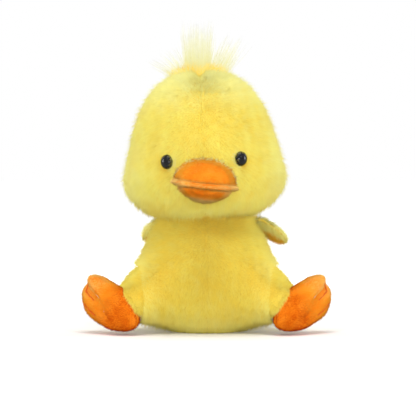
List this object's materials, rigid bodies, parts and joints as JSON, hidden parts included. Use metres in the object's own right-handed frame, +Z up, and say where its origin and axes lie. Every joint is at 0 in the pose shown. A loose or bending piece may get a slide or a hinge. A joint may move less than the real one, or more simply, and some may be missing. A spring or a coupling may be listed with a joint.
{
  "type": "plush duck",
  "caption": "Sitting stuffed duck of soft yellow fur fabric with an orange bill and webbed feet; its head turns and nods, its wings flap and its legs swing.",
  "frame": {"origin": "middle of the flat seat, on the floor", "axes": "+Z up, the duck faces -Y, its left is +X"},
  "size_m": [0.1856, 0.145, 0.2335],
  "materials": {
    "fur": "matte",
    "tuft": "matte",
    "lining": "matte",
    "velour": "matte",
    "thread": "matte",
    "eye": "gloss",
    "washer": "matte",
    "stuffing": "matte",
    "pellets": "matte"
  },
  "bodies": {
    "body": {"belly_panel_left": "fur", "belly_panel_right": "fur", "back_panel_left": "fur", "back_panel_right": "fur", "base_panel": "fur", "tail": "fur", "body_stuffing": "stuffing", "pellet_bag": "pellets"},
    "neck": {"neck_ball": "stuffing"},
    "head": {"cheek_panel_left": "fur", "cheek_panel_right": "fur", "head_back_panel_left": "fur", "head_back_panel_right": "fur", "head_stuffing": "stuffing", "eye_left": "eye", "eye_right": "eye", "eye_washer_left": "washer", "eye_washer_right": "washer", "crown_tuft": "tuft", "upper_bill": "velour", "bill_edge": "velour", "lower_bill": "velour", "bill_stuffing": "stuffing"},
    "left_wing": {"wing_outer_left": "fur", "wing_lining_left": "lining"},
    "right_wing": {"wing_outer_right": "fur", "wing_lining_right": "lining"},
    "left_leg": {"leg_cover_left": "fur", "leg_stuffing_left": "stuffing", "foot_sole_left": "velour", "foot_back_left": "velour", "foot_stuffing_left": "stuffing", "toe_stitch_1_left": "thread", "toe_stitch_2_left": "thread"},
    "right_leg": {"leg_cover_right": "fur", "leg_stuffing_right": "stuffing", "foot_sole_right": "velour", "foot_back_right": "velour", "foot_stuffing_right": "stuffing", "toe_stitch_1_right": "thread", "toe_stitch_2_right": "thread"}
  },
  "joints": [
    {"name": "head_turn", "type": "hinge", "parent": "body", "child": "neck", "pos_m": [0, 0, 0.086], "axis": [0, 0, 1], "range_deg": [-30, 30], "stiffness_Nm_per_rad": 0.6},
    {"name": "head_nod", "type": "hinge", "parent": "neck", "child": "head", "pos_m": [0, 0, 0.086], "axis": [1, 0, 0], "range_deg": [-6, 4], "stiffness_Nm_per_rad": 1.5},
    {"name": "left_wing_flap", "type": "hinge", "parent": "body", "child": "left_wing", "pos_m": [0.03828, 0.00744, 0.082], "axis": [0.367, -0.8859, 0.2836], "range_deg": [-4, 28], "stiffness_Nm_per_rad": 0.03},
    {"name": "right_wing_flap", "type": "hinge", "parent": "body", "child": "right_wing", "pos_m": [-0.02988, 0.02507, 0.082], "axis": [0.7505, 0.5969, -0.2836], "range_deg": [-4, 28], "stiffness_Nm_per_rad": 0.03},
    {"name": "left_leg_swing", "type": "hinge", "parent": "body", "child": "left_leg", "pos_m": [0.03814, -0.02292, 0.0274], "axis": [0, 0, 1], "range_deg": [-12, 20], "stiffness_Nm_per_rad": 0.2},
    {"name": "right_leg_swing", "type": "hinge", "parent": "body", "child": "right_leg", "pos_m": [-0.03814, -0.02292, 0.0274], "axis": [0, 0, -1], "range_deg": [-12, 20], "stiffness_Nm_per_rad": 0.2}
  ]
}
